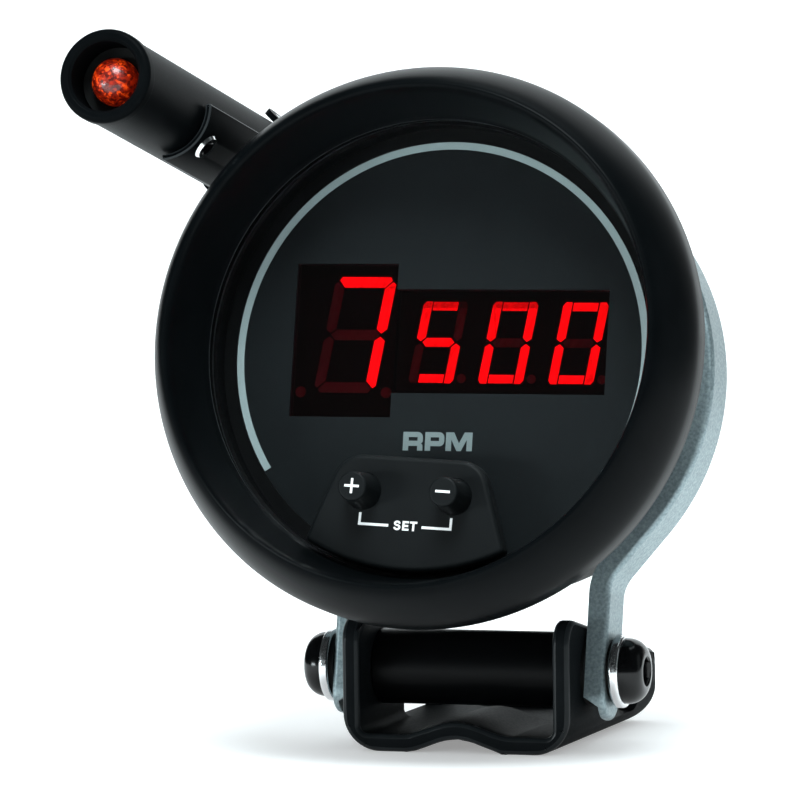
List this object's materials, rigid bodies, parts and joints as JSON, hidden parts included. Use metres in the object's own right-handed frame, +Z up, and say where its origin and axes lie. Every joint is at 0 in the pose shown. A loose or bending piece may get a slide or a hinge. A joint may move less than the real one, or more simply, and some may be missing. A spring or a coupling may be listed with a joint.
{
  "type": "tachometer gauge",
  "caption": "Round electronic tachometer in a deep black bezel, with a lit numeric display, two set keys, a strap stand and an adjustable side warning light.",
  "frame": {"origin": "on the underside plane of the stand bracket, midway between its ears and midway along its depth, under the raised hump that straddles a column", "axes": "+X towards the right side as a reader sees the dial, the dial faces -Y and leans back, +Z up from the stand"},
  "size_m": [0.1029, 0.0973, 0.1246],
  "materials": {
    "black_coat": "satin powder coat, soft sheen",
    "bezel_black": "fine satin black",
    "case_black": "satin black",
    "strap_plated": "plated steel, grainy matt sheen",
    "bolt_black": "black oxide, smooth",
    "tube_black": "satin black",
    "washer_bright": "bright plated",
    "rivet_bright": "bright plated",
    "nylon_black": "matt nylon",
    "liner_rubber": "matt rubber",
    "lens_clear": "clear, gloss",
    "ring_black": "matt black",
    "dial_charcoal": "fine-textured matt charcoal",
    "arc_silver": "silver ink",
    "filter_smoked": "smoked dark red",
    "module_black": "matt black",
    "segment_lit": "lit red segment",
    "segment_dark": "unlit segment, dark maroon",
    "board_green": "solder-masked board",
    "chip_black": "moulded package",
    "can_aluminium": "smooth can",
    "screw_steel": "zinc plated",
    "key_rubber": "smooth matt rubber",
    "light_black": "satin black",
    "socket_black": "matt black",
    "lamp_amber": "amber, faceted inside"
  },
  "bodies": {
    "stand": {"base_bracket": "black_coat", "spacer_tube": "tube_black", "inner_washer_left": "nylon_black", "inner_washer_right": "nylon_black", "nylon_washer_left": "nylon_black", "nylon_washer_right": "nylon_black", "plated_washer_left": "washer_bright", "plated_washer_right": "washer_bright", "pivot_bolt_left": "bolt_black", "pivot_bolt_right": "bolt_black"},
    "head": {"light_foot": "black_coat", "bezel": "bezel_black", "case_cup": "case_black", "strap": "strap_plated", "light_bolt": "bolt_black", "light_nut": "bolt_black", "foot_screw": "bolt_black", "strap_liner": "liner_rubber", "rear_grommet": "liner_rubber", "lens": "lens_clear", "spacer_ring": "ring_black", "dial": "dial_charcoal", "dial_arc": "arc_silver", "display_filter": "filter_smoked", "tall_digit_module": "module_black", "three_digit_module": "module_black", "segments_lit": "segment_lit", "segments_dark": "segment_dark", "display_board": "board_green", "main_board": "board_green", "controller": "chip_black", "board_header": "chip_black", "push_switch_left": "chip_black", "push_switch_right": "chip_black", "capacitor": "can_aluminium", "display_screw_1": "screw_steel", "display_screw_2": "screw_steel", "display_screw_3": "screw_steel", "display_screw_4": "screw_steel", "main_screw_1": "screw_steel", "main_screw_2": "screw_steel", "main_screw_3": "screw_steel", "main_screw_4": "screw_steel", "key_block": "key_rubber"},
    "warning_light": {"light_tube": "light_black", "light_saddle": "black_coat", "saddle_rivet": "rivet_bright", "lamp_socket": "socket_black", "amber_lamp": "lamp_amber", "light_plug": "liner_rubber"},
    "plus_key": {"plus_button": "key_rubber"},
    "minus_key": {"minus_button": "key_rubber"}
  },
  "joints": [
    {"name": "head_tilt", "type": "hinge", "parent": "stand", "child": "head", "pos_m": [0, -0.01385, 0.0134], "axis": [1, 0, 0], "range_deg": [-20, 20]},
    {"name": "plus_press", "type": "slide", "parent": "head", "child": "plus_key", "axis": [0, 0.9744, -0.225], "range_m": [0, 0.0006], "stiffness_N_per_m": 2200},
    {"name": "minus_press", "type": "slide", "parent": "head", "child": "minus_key", "axis": [0, 0.9744, -0.225], "range_m": [0, 0.0006], "stiffness_N_per_m": 2200},
    {"name": "light_aim", "type": "hinge", "parent": "head", "child": "warning_light", "pos_m": [-0.04615, 0.00588, 0.09972], "axis": [-0.643, -0.1723, -0.7462], "range_deg": [-3, 20]}
  ]
}
